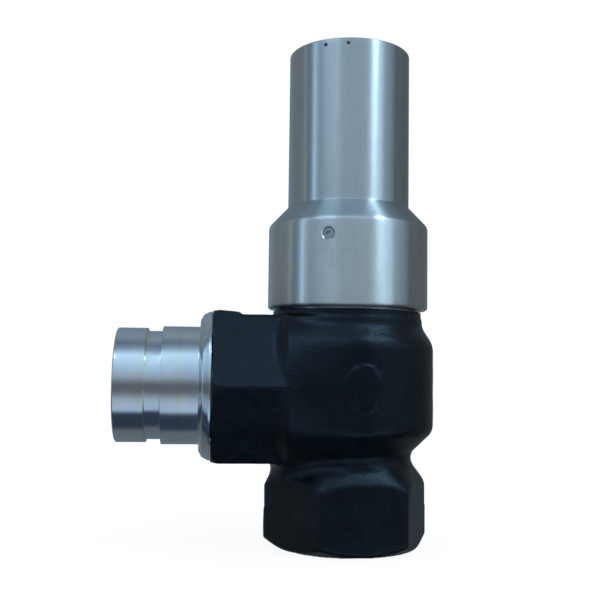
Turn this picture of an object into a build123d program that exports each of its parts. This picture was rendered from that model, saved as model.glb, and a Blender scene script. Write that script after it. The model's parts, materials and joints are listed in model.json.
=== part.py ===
from build123d import *
import math
import os

# A spring-loaded minimum pressure valve, in millimetres, +Z up. The Z axis is the axis of the inlet, the
# valve plate, the piston and the spring, and z = 0 is the face of the inlet hexagon. The outlet points along -X.
# Threads are plain cylinders at the thread's largest diameter.

# Clearances
thread_gap = 0.1            # radial, between a threaded hole and the thread in it
fit_gap = 0.05              # radial, between parts that locate one another
slide_gap = 0.1             # radial, between the piston or the stem and its bore
ring_gap = 0.03             # radial, between a guide ring or sliding seal and its bore
spring_gap = 0.3            # axial, between a spring's ends and their seats

# Casting, from the inlet hexagon up
hex_wall = 9.3              # from the port's thread to the hexagon's flats
hex_height = 33.5
hex_angle = 5.5             # degrees about Z, from corners in line with the side boss
hex_chamfer_height = 5.0
hex_face_wall = 7.55        # of the flat face round the port, outside its thread
waist_drop = 14.7           # from the top of the hexagon to the waist
waist_wall = 7.2            # from the throat to the waist's sharp corner, which is then rounded
waist_round = 6.0
bulge_rise = 12.9           # from the waist to the bulge's full radius
bulge_height = 45.7
bulge_low_round = 8.0
bulge_high_round = 12.0
shoulder_step = 3.0         # from the neck's thread out to the shoulder
shoulder_rise = 9.2         # from the bulge up to the shoulder's radius
shoulder_height = 8.8
shoulder_round = 8.0
pad_width = 19.0
pad_height = 23.5
pad_proud = 0.8
pad_x = 2.0

# Side boss, its axis along X at the middle of the bulge
boss_reach = 73.25          # from the Z axis to the boss face
boss_root_reach = 35.0      # from the Z axis to where the round root gives way to the hexagon
boss_chamfer = 5.6
relief_width = 18.5         # turned relief over the boss, outside the collar
relief_drop = 3.2           # from the shoulder's top to the relief's floor

# Passages in the casting
port_chamfer = 1.2
inlet_thread_depth = 26.0
outlet_thread_depth = 24.2
throat_step = 1.0           # throat wider than the seat's bore
chamber_trough = 6.5        # floor round the seat boss
chamber_wall = 8.0
chamber_floor_drop = 1.1    # floor below the bulge's lower edge
chamber_roof_rise = 1.2     # roof above the bulge's upper edge
seat_boss_wall = 2.5
seat_boss_height = 4.0

# Seat ring
seat_bore_r = 25.0
seat_wall = 4.5
seat_socket_depth = 8.0
seat_flange_step = 1.5
seat_flange_height = 2.0
seat_lip_height = 2.5
seat_lip_width = 2.5

# Bonnet: collar, cone and spring housing in one piece
collar_gap = 0.6            # the dark line under the collar
collar_wall = 5.7           # outside the neck's thread
collar_height = 44.8
collar_low_round = 1.6
collar_high_round = 4.0
cone_height = 10.9
housing_wall = 8.0
housing_height = 85.3
rim_chamfer = 0.8
rim_wall = 6.0
rim_recess_depth = 10.4
top_wall = 10.0
spring_chamber_room = 5.4   # round the main spring
neck_top_drop = 4.7         # neck's top below the collar's upper edge
wire_hole_r = 1.0
wire_hole_drop = 3.2        # below the rim
wire_hole_angles = (-120.8, -99.7)
vent_r = 1.5
vent_place_r = 20.0

# Set screw in the collar
set_screw_r = 3.0
set_screw_drop = 8.5        # below the collar's upper edge
set_screw_angle = -111.8    # degrees about Z from +X
set_screw_sunk = 0.8
set_screw_socket = 3.0      # across flats

# Grooved outlet nipple
nipple_r = 30.15
nipple_back_step = 1.05     # thicker behind the groove
nipple_reach = 122.6        # from the Z axis to the open end
groove_depth = 1.575
groove_from_end = 15.88
groove_width = 7.95
groove_wall = 3.075         # left under the groove
nipple_shank_wall = 4.3     # under the shank's thread
nipple_shank_length = 22.2
nipple_flange_overhang = 0.3
nipple_flange_edge = 1.25
nipple_flange_taper = 4.7
nipple_flange_small_step = 4.3

# Guide sleeve and piston
sleeve_wall = 3.0
sleeve_flange_inset = 1.0   # from the neck's thread
sleeve_flange_height = 4.0
sleeve_reach = 2.0          # sleeve's lower end below the chamber's roof
neck_wall = 6.5             # from the sleeve to the neck's thread
piston_length = 72.0
piston_floor = 14.0
piston_cup_room = 1.9       # round the main spring
piston_wall = 6.4
hub_wall = 4.4
hub_height = 14.0
stem_r = 7.0
stem_length = 26.0
check_pocket_wall = 1.4     # from the stem's bore to the pocket
check_pocket_depth = 10.0
check_spring_room = 1.6     # beside the check spring's wire, inside
check_spring_clearance = 2.1  # beside the check spring's wire, outside
guide_ring_height = 4.0
guide_ring_depth = 1.6
guide_ring_top_drop = 4.0   # upper guide ring below the piston's top
guide_ring_spacing = 14.0

# Valve plate with its seal
plate_rim = 1.0
plate_thickness = 8.5
seal_proud = 1.0
seal_thickness = 4.5
seal_inside_seat = 3.2      # seal's inner edge inside the seat's bore
seal_outside_seat = 3.5     # seal's outer edge outside the seat's bore
seal_lap = 1.5              # how far the retainer laps the seal's inner edge
retainer_thickness = 4.0
seal_screw_r = 4.0
seal_screw_head_r = 8.0
seal_screw_length = 17.0
seal_screw_socket = 5.0     # across flats

# Springs
main_spring_r = 17.0        # to the wire's centre
main_wire_r = 2.6
main_turns = 8.5
check_wire_r = 0.9
check_turns = 3.0
wire_sides = 6

# Spring seat, thrust ball, adjusting screw and lock nut
spring_seat_rim = 1.4       # outside the main spring
spring_seat_thickness = 6.0
spring_seat_spigot_room = 1.4
spring_seat_spigot_height = 6.0
ball_r = 4.0
ball_sunk = 3.0             # ball's lowest point below the spring seat's top
adjuster_r = 8.0
adjuster_length = 18.5
adjuster_socket = 8.0       # across flats
adjuster_socket_depth = 8.0
adjuster_tip_gap = 4.0      # from the spring seat's top to the screw's tip
adjuster_chamfer = 1.0
nut_across_flats = 24.0
nut_height = 8.0
adjuster_below_nut = 1.5    # screw's top below the nut's top

# Rubber rings
neck_ring_section = 1.2
neck_ring_rise = 4.6        # above the shoulder's top
sleeve_ring_section = 1.05
sleeve_ring_rise = 4.4      # above the chamber's roof
piston_ring_section = 1.5
piston_ring_rise = 42.0     # above the piston's underside
nipple_ring_section = 1.3
nipple_ring_step = 3.7      # from the port's thread to the ring's centre
ring_squash_gap = 0.05      # keeps a ring's round flank clear of its walls

# Radii that follow from the sizes above: the spring sets the piston, the piston the sleeve, neck and collar
main_spring_outer_r = main_spring_r + main_wire_r
piston_cup_r = main_spring_outer_r + piston_cup_room
piston_r = piston_cup_r + piston_wall
sleeve_bore_r = piston_r + slide_gap
neck_bore_r = sleeve_bore_r + sleeve_wall
neck_thread_r = neck_bore_r + neck_wall
shoulder_r = neck_thread_r + shoulder_step
collar_thread_r = neck_thread_r + thread_gap
collar_r = collar_thread_r + collar_wall
relief_r = collar_r + relief_width
spring_chamber_r = main_spring_outer_r + spring_chamber_room
housing_r = spring_chamber_r + housing_wall
rim_recess_r = housing_r - rim_wall
sleeve_flange_r = neck_thread_r - sleeve_flange_inset
spring_seat_r = main_spring_outer_r + spring_seat_rim
spring_seat_spigot_r = main_spring_r - main_wire_r - spring_seat_spigot_room
stem_bore_r = stem_r + slide_gap
hub_r = stem_bore_r + hub_wall
check_pocket_in_r = stem_bore_r + check_pocket_wall
check_spring_r = check_pocket_in_r + check_spring_room + check_wire_r
check_pocket_out_r = check_spring_r + check_wire_r + check_spring_clearance
seat_outer_r = seat_bore_r + seat_wall
seat_flange_r = seat_outer_r + seat_flange_step
seat_boss_r = seat_outer_r + seat_boss_wall
throat_r = seat_bore_r + throat_step
waist_r = throat_r + waist_wall
chamber_r = seat_boss_r + chamber_trough
chamber_round = chamber_trough - 0.5
bulge_r = chamber_r + chamber_wall
seal_inner_r = seat_bore_r - seal_inside_seat
seal_outer_r = seat_bore_r + seal_outside_seat
plate_r = seal_outer_r + plate_rim
groove_r = nipple_r - groove_depth
nipple_bore_r = groove_r - groove_wall
nipple_back_r = nipple_r + nipple_back_step
nipple_shank_r = nipple_bore_r + nipple_shank_wall
port_thread_r = nipple_shank_r + thread_gap
port_face_r = port_thread_r + hex_face_wall
hex_across_flats = 2 * (port_thread_r + hex_wall)
hex_corner_r = hex_across_flats / math.sqrt(3)
nipple_flange_r = hex_across_flats / 2 + nipple_flange_overhang
nipple_flange_small_r = nipple_back_r + nipple_flange_small_step
nipple_ring_r = port_thread_r + nipple_ring_step
adjuster_hole_r = adjuster_r + fit_gap

# Heights that follow from the sizes above
waist_z = hex_height + waist_drop
bulge_low_z = waist_z + bulge_rise
bulge_high_z = bulge_low_z + bulge_height
shoulder_low_z = bulge_high_z + shoulder_rise
shoulder_z = shoulder_low_z + shoulder_height
outlet_z = bulge_low_z + bulge_height / 2
collar_low_z = shoulder_z + collar_gap
collar_high_z = collar_low_z + collar_height
cone_top_z = collar_high_z + cone_height
rim_z = cone_top_z + housing_height
neck_top_z = collar_high_z - neck_top_drop
sleeve_top_z = neck_top_z + sleeve_flange_height
recess_floor_z = rim_z - rim_recess_depth
spring_chamber_top_z = recess_floor_z - top_wall
chamber_floor_z = bulge_low_z - chamber_floor_drop
chamber_roof_z = bulge_high_z + chamber_roof_rise
seat_boss_z = chamber_floor_z + seat_boss_height
seat_lip_z = seat_boss_z + seat_flange_height + seat_lip_height
plate_low_z = seat_lip_z + seal_proud
plate_high_z = plate_low_z + plate_thickness
piston_floor_z = plate_high_z + piston_floor
piston_top_z = plate_high_z + piston_length
nut_top_z = recess_floor_z + nut_height
adjuster_top_z = nut_top_z - adjuster_below_nut
adjuster_tip_z = adjuster_top_z - adjuster_length
spring_seat_top_z = adjuster_tip_z - adjuster_tip_gap
spring_seat_low_z = spring_seat_top_z - spring_seat_thickness
ball_z = spring_seat_top_z - ball_sunk + ball_r

# Local Z of this frame runs out of the outlet, away from the valve's axis, and its X is the valve's +Y
outlet_frame = Plane(origin=(0, 0, outlet_z), x_dir=(0, 1, 0), z_dir=(-1, 0, 0))


def turned(*corners):
    """Solid of revolution about Z. Each corner is (radius, height) or (radius, height, fillet)."""
    points = [corner[:2] for corner in corners]
    rounds = [corner[2] if len(corner) > 2 else 0 for corner in corners]
    outline = FilletPolyline(*points, radius=rounds, close=True)
    return revolve(Plane.XZ * make_face(outline), Axis.Z)


def drum(radius, low, high):
    """Solid cylinder about Z between two heights."""
    return Pos(0, 0, low) * extrude(Circle(radius), high - low)


def tube(outer, inner, low, high):
    """Hollow cylinder about Z between two heights."""
    return Pos(0, 0, low) * extrude(Circle(outer) - Circle(inner), high - low)


def hexagon(across_flats, low, high):
    """Hexagonal prism about Z with its corners at +X and -X."""
    return Pos(0, 0, low) * extrude(RegularPolygon(across_flats / math.sqrt(3), 6), high - low)


def rubber_ring(centre_r, section, centre_z):
    """Round ring with an eight-sided section."""
    corner_r = section / math.cos(math.pi / 8)
    section_face = Plane.XZ * Pos(centre_r, centre_z) * RegularPolygon(corner_r, 8, rotation=22.5)
    return revolve(section_face, Axis.Z)


def coil_spring(centre_r, wire_r, low, high, turns):
    """Compression spring about Z, its ends ground flat at the two heights."""
    path = Helix(pitch=(high - low) / turns, height=high - low, radius=centre_r)
    path = Pos(0, 0, low) * path
    wire_face = Plane(origin=path @ 0, z_dir=path % 0) * RegularPolygon(wire_r, wire_sides)
    wire = sweep(wire_face, path=path, is_frenet=True)
    return wire & drum(centre_r + 2 * wire_r, low, high)


def make_casting_outside():
    """Turned body with its inlet hexagon, side boss and front pad, before any passage is cut."""
    body = turned(
        (0, 0),
        (port_face_r, 0),
        (hex_corner_r, hex_chamfer_height),
        (hex_corner_r, hex_height, 2.0),
        (waist_r, waist_z, waist_round),
        (bulge_r, bulge_low_z, bulge_low_round),
        (bulge_r, bulge_high_z, bulge_high_round),
        (shoulder_r, shoulder_low_z, shoulder_round),
        (shoulder_r, shoulder_z),
        (0, shoulder_z),
    )
    hex_zone_z = (hex_height + waist_z) / 2
    inlet_hexagon = Rot(0, 0, hex_angle) * hexagon(hex_across_flats, 0, hex_zone_z)
    body -= drum(hex_corner_r + 5, 0, hex_zone_z) - inlet_hexagon

    body += outlet_frame * make_boss()
    boss_top_z = outlet_z + hex_corner_r
    body -= tube(relief_r, shoulder_r, shoulder_z - relief_drop, boss_top_z)
    body -= drum(relief_r, shoulder_z, boss_top_z)

    pad_face = Pos(pad_x, outlet_z) * Ellipse(pad_width / 2, pad_height / 2)
    pad = extrude(Plane.XZ * pad_face, bulge_r + 5)
    pad &= drum(bulge_r + pad_proud, bulge_low_z, bulge_high_z)
    body += pad
    return body


def make_boss():
    """Hexagon with a chamfered end on a round root, about Z; a 45 degree cone runs out its flats at the root."""
    flat_r = hex_across_flats / 2
    cone_end = boss_root_reach + hex_corner_r - flat_r
    root = turned(
        (0, 0),
        (hex_corner_r, 0),
        (hex_corner_r, boss_root_reach),
        (flat_r, cone_end),
        (0, cone_end),
    )
    chamfered_end = turned(
        (0, 0),
        (hex_corner_r, 0),
        (hex_corner_r, boss_reach - boss_chamfer),
        (hex_corner_r - boss_chamfer, boss_reach),
        (0, boss_reach),
    )
    return root + (hexagon(hex_across_flats, boss_root_reach, boss_reach) & chamfered_end)


def make_valve_body():
    """Black casting with both threaded ports, the valve chamber and the threaded neck."""
    body = make_casting_outside()
    body += drum(neck_thread_r, shoulder_z, neck_top_z)

    passage = turned(
        (0, 0),
        (port_thread_r + port_chamfer, 0),
        (port_thread_r, port_chamfer),
        (port_thread_r, inlet_thread_depth),
        (throat_r, inlet_thread_depth + port_thread_r - throat_r),
        (throat_r, seat_boss_z - seat_socket_depth),
        (seat_outer_r, seat_boss_z - seat_socket_depth),
        (seat_outer_r, seat_boss_z),
        (0, seat_boss_z),
    )
    chamber = turned(
        (0, seat_boss_z),
        (seat_boss_r, seat_boss_z),
        (seat_boss_r, chamber_floor_z),
        (chamber_r, chamber_floor_z, chamber_round),
        (chamber_r, chamber_roof_z, chamber_round),
        (neck_bore_r, chamber_roof_z),
        (neck_bore_r, neck_top_z),
        (0, neck_top_z),
    )
    outlet = turned(
        (0, seat_bore_r),
        (throat_r, seat_bore_r),
        (throat_r, boss_reach - outlet_thread_depth),
        (port_thread_r, boss_reach - outlet_thread_depth),
        (port_thread_r, boss_reach - port_chamfer),
        (port_thread_r + port_chamfer, boss_reach),
        (0, boss_reach),
    )
    body -= passage
    body -= chamber
    body -= outlet_frame * outlet

    body -= ring_groove(neck_thread_r, -neck_ring_section, shoulder_z + neck_ring_rise)
    body -= ring_groove(neck_bore_r, sleeve_ring_section, chamber_roof_z + sleeve_ring_rise)
    return body


def ring_groove(wall_r, section, centre_z):
    """Square groove for a rubber ring: outward from a bore, or inward from a shaft if section is negative."""
    size = abs(section)
    floor_r = wall_r + math.copysign(2 * size + 2 * ring_squash_gap, section)
    half_height = 1.25 * size
    return tube(max(wall_r, floor_r), min(wall_r, floor_r), centre_z - half_height, centre_z + half_height)


def make_seat_ring():
    """Pressed-in seat with a raised lip."""
    socket_z = seat_boss_z - seat_socket_depth
    flange_z = seat_boss_z + seat_flange_height
    return turned(
        (seat_bore_r, socket_z),
        (seat_outer_r - fit_gap, socket_z),
        (seat_outer_r - fit_gap, seat_boss_z),
        (seat_flange_r, seat_boss_z),
        (seat_flange_r, flange_z),
        (seat_bore_r + 2 * seat_lip_width, flange_z),
        (seat_bore_r + seat_lip_width, seat_lip_z),
        (seat_bore_r, seat_lip_z),
    )


def make_guide_sleeve():
    """Flanged bronze liner for the piston, with a lead-in at its lower end."""
    low = chamber_roof_z - sleeve_reach
    outer = neck_bore_r - fit_gap
    return turned(
        (sleeve_bore_r + 1.2, low),
        (outer, low),
        (outer, neck_top_z),
        (sleeve_flange_r, neck_top_z),
        (sleeve_flange_r, sleeve_top_z),
        (sleeve_bore_r, sleeve_top_z),
        (sleeve_bore_r, low + 2.4),
    )


def make_bonnet():
    """Collar, cone and spring housing, with the tapped top wall inside the rim."""
    bonnet = turned(
        (collar_thread_r, collar_low_z + 1),
        (collar_thread_r + 1, collar_low_z),
        (collar_r, collar_low_z, collar_low_round),
        (collar_r, collar_high_z, collar_high_round),
        (housing_r, cone_top_z),
        (housing_r, rim_z - rim_chamfer),
        (housing_r - rim_chamfer, rim_z),
        (rim_recess_r + rim_chamfer, rim_z),
        (rim_recess_r, rim_z - rim_chamfer),
        (rim_recess_r, recess_floor_z),
        (adjuster_hole_r, recess_floor_z),
        (adjuster_hole_r, spring_chamber_top_z),
        (spring_chamber_r, spring_chamber_top_z, 3.0),
        (spring_chamber_r, sleeve_top_z),
        (collar_thread_r, sleeve_top_z),
    )
    bonnet -= across(set_screw_angle, collar_high_z - set_screw_drop, collar_r, set_screw_r + fit_gap, 8)
    for angle in wire_hole_angles:
        bonnet -= across(angle, rim_z - wire_hole_drop, housing_r, wire_hole_r, 8)
    bonnet -= Pos(vent_place_r, 0, 0) * drum(vent_r, spring_chamber_top_z - 1, recess_floor_z + 1)
    return bonnet


def across(angle, height, outer_r, radius, depth):
    """Radial cylinder that runs in from just outside a wall of outer_r."""
    run = Plane(origin=(0, 0, height), x_dir=(0, 0, 1), z_dir=(math.cos(math.radians(angle)),
                math.sin(math.radians(angle)), 0))
    return run * drum(radius, outer_r - depth, outer_r + 1)


def make_set_screw():
    """Socket set screw, its tip on the neck's thread."""
    low = neck_thread_r
    high = collar_r - set_screw_sunk
    screw = turned(
        (0, low),
        (set_screw_r - 1, low),
        (set_screw_r, low + 1),
        (set_screw_r, high),
        (0, high),
    )
    screw -= hexagon(set_screw_socket, high - 2.5, high)
    angle = math.radians(set_screw_angle)
    run = Plane(origin=(0, 0, collar_high_z - set_screw_drop), x_dir=(0, 0, 1),
                z_dir=(math.cos(angle), math.sin(angle), 0))
    return run * screw


def make_outlet_nipple():
    """Grooved pipe end with a flange and a threaded shank, along the outlet's axis."""
    groove_outer = nipple_reach - groove_from_end
    groove_inner = groove_outer - groove_width
    flange_end = boss_reach + nipple_flange_edge
    taper_end = flange_end + nipple_flange_taper
    shank_r = nipple_shank_r
    nipple = turned(
        (nipple_bore_r, boss_reach - nipple_shank_length),
        (shank_r - 1, boss_reach - nipple_shank_length),
        (shank_r, boss_reach - nipple_shank_length + 1),
        (shank_r, boss_reach),
        (nipple_flange_r, boss_reach),
        (nipple_flange_r, flange_end),
        (nipple_flange_small_r, taper_end),
        (nipple_back_r, taper_end),
        (nipple_back_r, groove_inner),
        (groove_r, groove_inner),
        (groove_r, groove_outer),
        (nipple_r, groove_outer),
        (nipple_r, nipple_reach - 0.6),
        (nipple_r - 0.6, nipple_reach),
        (nipple_bore_r + 0.8, nipple_reach),
        (nipple_bore_r, nipple_reach - 0.8),
    )
    groove_half = nipple_ring_section + ring_squash_gap
    nipple -= tube(
        nipple_ring_r + groove_half,
        nipple_ring_r - groove_half,
        boss_reach,
        boss_reach + 2 * groove_half,
    )
    return outlet_frame * nipple


def make_nipple_ring():
    """Face seal in the nipple's flange."""
    centre = boss_reach + nipple_ring_section + ring_squash_gap
    return outlet_frame * rubber_ring(nipple_ring_r, nipple_ring_section, centre)


def make_piston():
    """Cup that carries the main spring, with the stem's guide in its hub and grooves for three rings."""
    outer = piston_r
    low = plate_high_z
    hub_top = piston_floor_z + hub_height
    stem_bore_top = low + stem_length + 1
    piston = turned(
        (stem_bore_r, low),
        (check_pocket_in_r, low),
        (check_pocket_in_r, low + check_pocket_depth),
        (check_pocket_out_r, low + check_pocket_depth),
        (check_pocket_out_r, low),
        (outer - 1.5, low),
        (outer, low + 1.5),
        (outer, piston_top_z - 1),
        (outer - 1, piston_top_z),
        (piston_cup_r, piston_top_z),
        (piston_cup_r, piston_floor_z, 1.5),
        (hub_r, piston_floor_z, 1.0),
        (hub_r, hub_top - 1),
        (hub_r - 1, hub_top),
        (0, hub_top),
        (0, stem_bore_top),
        (stem_bore_r, stem_bore_top),
    )
    piston -= ring_groove(outer, -piston_ring_section, low + piston_ring_rise)
    for centre_z in guide_ring_heights():
        half = guide_ring_height / 2 + fit_gap
        piston -= tube(outer, outer - guide_ring_depth, centre_z - half, centre_z + half)
    return piston


def guide_ring_heights():
    """Middle heights of the lower and the upper guide ring."""
    upper = piston_top_z - guide_ring_top_drop - guide_ring_height / 2
    return upper - guide_ring_spacing, upper


def make_guide_ring(centre_z):
    """Wear ring in the piston's groove, split at +X."""
    inner = piston_r - guide_ring_depth + fit_gap
    half = guide_ring_height / 2
    ring = tube(sleeve_bore_r - ring_gap, inner, centre_z - half, centre_z + half)
    slit = Pos(sleeve_bore_r, 0, centre_z) * Box(8, 0.8, 2 * guide_ring_height)
    return ring - slit


def make_valve_plate():
    """Check plate with its stem and the seal's groove in its face."""
    plate = turned(
        (0, plate_low_z),
        (seal_inner_r, plate_low_z),
        (seal_inner_r, plate_low_z + seal_thickness - seal_proud),
        (seal_outer_r, plate_low_z + seal_thickness - seal_proud),
        (seal_outer_r, plate_low_z),
        (plate_r, plate_low_z),
        (plate_r, plate_high_z, 1.5),
        (stem_r, plate_high_z),
        (stem_r, plate_high_z + stem_length - 1),
        (stem_r - 1, plate_high_z + stem_length),
        (0, plate_high_z + stem_length),
    )
    screw_top_z = plate_low_z - retainer_thickness + seal_screw_length
    return plate - drum(seal_screw_r + fit_gap, plate_low_z, screw_top_z + 1)


def make_plate_seal():
    """Rubber ring, stepped where the retainer laps it."""
    seal_low_z = plate_low_z - seal_proud
    lap_r = seal_inner_r + seal_lap
    return turned(
        (seal_inner_r + fit_gap, plate_low_z),
        (lap_r + fit_gap, plate_low_z),
        (lap_r + fit_gap, seal_low_z),
        (seal_outer_r - fit_gap, seal_low_z),
        (seal_outer_r - fit_gap, seal_low_z + seal_thickness),
        (seal_inner_r + fit_gap, seal_low_z + seal_thickness),
    )


def make_seal_retainer():
    """Washer with a countersunk hole for its screw."""
    low = plate_low_z - retainer_thickness
    outer = seal_inner_r + seal_lap
    return turned(
        (seal_screw_head_r + fit_gap, low),
        (outer - 1, low),
        (outer, low + 1),
        (outer, plate_low_z),
        (seal_screw_r + fit_gap, plate_low_z),
    )


def make_seal_screw():
    """Countersunk screw, flush with the retainer."""
    low = plate_low_z - retainer_thickness
    screw = turned(
        (0, low),
        (seal_screw_head_r, low),
        (seal_screw_r, plate_low_z),
        (seal_screw_r, low + seal_screw_length),
        (0, low + seal_screw_length),
    )
    return screw - hexagon(seal_screw_socket, low, low + 3)


def make_upper_spring_seat():
    """Disc over the main spring, with a spigot inside the spring and a pocket for the ball."""
    seat = turned(
        (0, spring_seat_low_z - spring_seat_spigot_height),
        (spring_seat_spigot_r - 1, spring_seat_low_z - spring_seat_spigot_height),
        (spring_seat_spigot_r, spring_seat_low_z - spring_seat_spigot_height + 1),
        (spring_seat_spigot_r, spring_seat_low_z),
        (spring_seat_r, spring_seat_low_z),
        (spring_seat_r, spring_seat_top_z, 1.0),
        (0, spring_seat_top_z),
    )
    return seat - Pos(0, 0, ball_z) * Sphere(ball_r + fit_gap)


def make_adjusting_screw():
    """Socket screw in the bonnet's top wall, with a cup in its tip for the ball."""
    screw = turned(
        (0, adjuster_tip_z),
        (adjuster_r - adjuster_chamfer, adjuster_tip_z),
        (adjuster_r, adjuster_tip_z + adjuster_chamfer),
        (adjuster_r, adjuster_top_z - adjuster_chamfer),
        (adjuster_r - adjuster_chamfer, adjuster_top_z),
        (0, adjuster_top_z),
    )
    screw -= hexagon(adjuster_socket, adjuster_top_z - adjuster_socket_depth, adjuster_top_z)
    return screw - Pos(0, 0, ball_z) * Sphere(ball_r + fit_gap)


def make_lock_nut():
    """Hexagon nut with turned corners on the adjusting screw."""
    corner_r = nut_across_flats / math.sqrt(3)
    turned_corners = turned(
        (0, recess_floor_z),
        (corner_r - 1.4, recess_floor_z),
        (corner_r, recess_floor_z + 0.8),
        (corner_r, nut_top_z - 0.8),
        (corner_r - 1.4, nut_top_z),
        (0, nut_top_z),
    )
    nut = hexagon(nut_across_flats, recess_floor_z, nut_top_z) & turned_corners
    return nut - drum(adjuster_hole_r, recess_floor_z, nut_top_z)


lower_guide_z, upper_guide_z = guide_ring_heights()

parts = {
    "valve_body": make_valve_body(),
    "seat_ring": make_seat_ring(),
    "guide_sleeve": make_guide_sleeve(),
    "sleeve_o_ring": rubber_ring(
        neck_bore_r + sleeve_ring_section + ring_squash_gap,
        sleeve_ring_section,
        chamber_roof_z + sleeve_ring_rise,
    ),
    "bonnet": make_bonnet(),
    "bonnet_o_ring": rubber_ring(
        neck_thread_r - neck_ring_section - ring_squash_gap,
        neck_ring_section,
        shoulder_z + neck_ring_rise,
    ),
    "bonnet_set_screw": make_set_screw(),
    "outlet_nipple": make_outlet_nipple(),
    "nipple_o_ring": make_nipple_ring(),
    "piston": make_piston(),
    "piston_o_ring": rubber_ring(
        sleeve_bore_r - ring_gap - piston_ring_section,
        piston_ring_section,
        plate_high_z + piston_ring_rise,
    ),
    "guide_ring_lower": make_guide_ring(lower_guide_z),
    "guide_ring_upper": make_guide_ring(upper_guide_z),
    "valve_plate": make_valve_plate(),
    "plate_seal": make_plate_seal(),
    "seal_retainer": make_seal_retainer(),
    "seal_screw": make_seal_screw(),
    "check_spring": coil_spring(
        check_spring_r,
        check_wire_r,
        plate_high_z + spring_gap,
        plate_high_z + check_pocket_depth - spring_gap,
        check_turns,
    ),
    "main_spring": coil_spring(
        main_spring_r,
        main_wire_r,
        piston_floor_z + spring_gap,
        spring_seat_low_z - spring_gap,
        main_turns,
    ),
    "upper_spring_seat": make_upper_spring_seat(),
    "thrust_ball": Pos(0, 0, ball_z) * Sphere(ball_r),
    "adjusting_screw": make_adjusting_screw(),
    "lock_nut": make_lock_nut(),
}

os.makedirs("parts", exist_ok=True)
for name, solid in parts.items():
    export_step(solid, f"parts/{name}.step")
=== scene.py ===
import json
import math

import bmesh
import bpy
import numpy as np
import openvdb
from mathutils import Matrix, Vector


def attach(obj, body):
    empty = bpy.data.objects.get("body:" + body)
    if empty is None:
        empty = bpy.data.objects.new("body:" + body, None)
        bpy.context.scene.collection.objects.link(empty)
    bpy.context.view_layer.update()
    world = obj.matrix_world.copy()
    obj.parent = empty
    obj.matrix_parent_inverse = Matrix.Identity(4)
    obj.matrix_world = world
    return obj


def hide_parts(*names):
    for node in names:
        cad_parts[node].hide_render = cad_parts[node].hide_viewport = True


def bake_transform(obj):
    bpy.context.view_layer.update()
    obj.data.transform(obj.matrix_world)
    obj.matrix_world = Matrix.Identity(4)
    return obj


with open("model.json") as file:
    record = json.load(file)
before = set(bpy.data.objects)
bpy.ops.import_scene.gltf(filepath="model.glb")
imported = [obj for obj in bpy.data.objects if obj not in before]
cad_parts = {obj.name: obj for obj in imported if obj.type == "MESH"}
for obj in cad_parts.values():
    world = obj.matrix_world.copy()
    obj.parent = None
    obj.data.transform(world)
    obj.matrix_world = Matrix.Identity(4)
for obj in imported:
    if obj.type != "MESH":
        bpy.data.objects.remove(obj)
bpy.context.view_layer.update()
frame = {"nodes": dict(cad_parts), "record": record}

# A minimum pressure valve. Shapes are worked out in millimetres and scaled to metres when a mesh is made.
MM = 0.001

# Heights, radii and reaches shared with the valve's source
OUTLET_Z = 83.95            # axis of the side outlet
HEX_R = 45.264              # hexagon corners
HEX_FLAT = 39.2             # hexagon flats
HEX_TURN = math.radians(5.5)  # inlet hexagon about Z
RELIEF_R = 61.8             # turned relief over the side boss
RELIEF_Z = 121.6            # its floor outside the shoulder
PORT_R = 29.9               # inlet and outlet threads
PORT_END_Z = 26.0           # where the inlet's thread ends
THROAT_R = 26.0
SEAT_R = 29.5               # socket of the seat ring
SEAT_Z = 56.0
SEAT_BOSS_R = 32.0
SEAT_TOP_Z = 64.0
CHAMBER_R = 38.5
CHAMBER_Z = 60.0
CHAMBER_TOP_Z = 108.0
BULGE_R = 46.5
SHOULDER_R = 40.5
SHOULDER_Z = 124.8
NECK_R = 37.5
NECK_BORE_R = 31.0
NECK_TOP_Z = 165.5
COLLAR_Z = 125.4
COLLAR_R = 43.3
COLLAR_TOP_Z = 170.2
COLLAR_BORE_R = 37.6
COLLAR_BORE_TOP_Z = 169.5
CONE_TOP_Z = 181.1
HOUSING_R = 33.0
RIM_Z = 266.4
RECESS_R = 27.0             # round recess inside the rim
RECESS_Z = 256.0
SPRING_ROOM_R = 25.0
SPRING_ROOM_TOP_Z = 246.0
ADJUSTER_R = 8.05           # hole of the adjusting screw
BOSS_X = 73.25              # end face of the side boss
NIPPLE_X = 122.6            # outer end of the nipple
NIPPLE_INNER_X = 51.05
NIPPLE_BORE_R = 25.5
NIPPLE_THREAD_R = 28.6
SHANK_R = 31.2
PIPE_R = 30.15
PIPE_GROOVE_R = 28.575      # the standard groove: its floor, width and distance from the pipe's end
PIPE_GROOVE_WIDTH = 7.95
PIPE_GROOVE_REACH = 15.88
PIPE_PITCH = 2.309          # pitch of the pipe threads
SCREW_ANGLE = -111.8        # collar screw, degrees about Z from +X
SCREW_Z = COLLAR_TOP_Z - 8.5

SMOOTH_ANGLE = math.radians(32)  # edges that bend more than this stay sharp
TINY = 1e-6                 # a length or reach below this counts as none
STRAIGHT = 1e-3             # and so does a corner that turns by less than this, in radians


# Shader and node helpers

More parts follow.
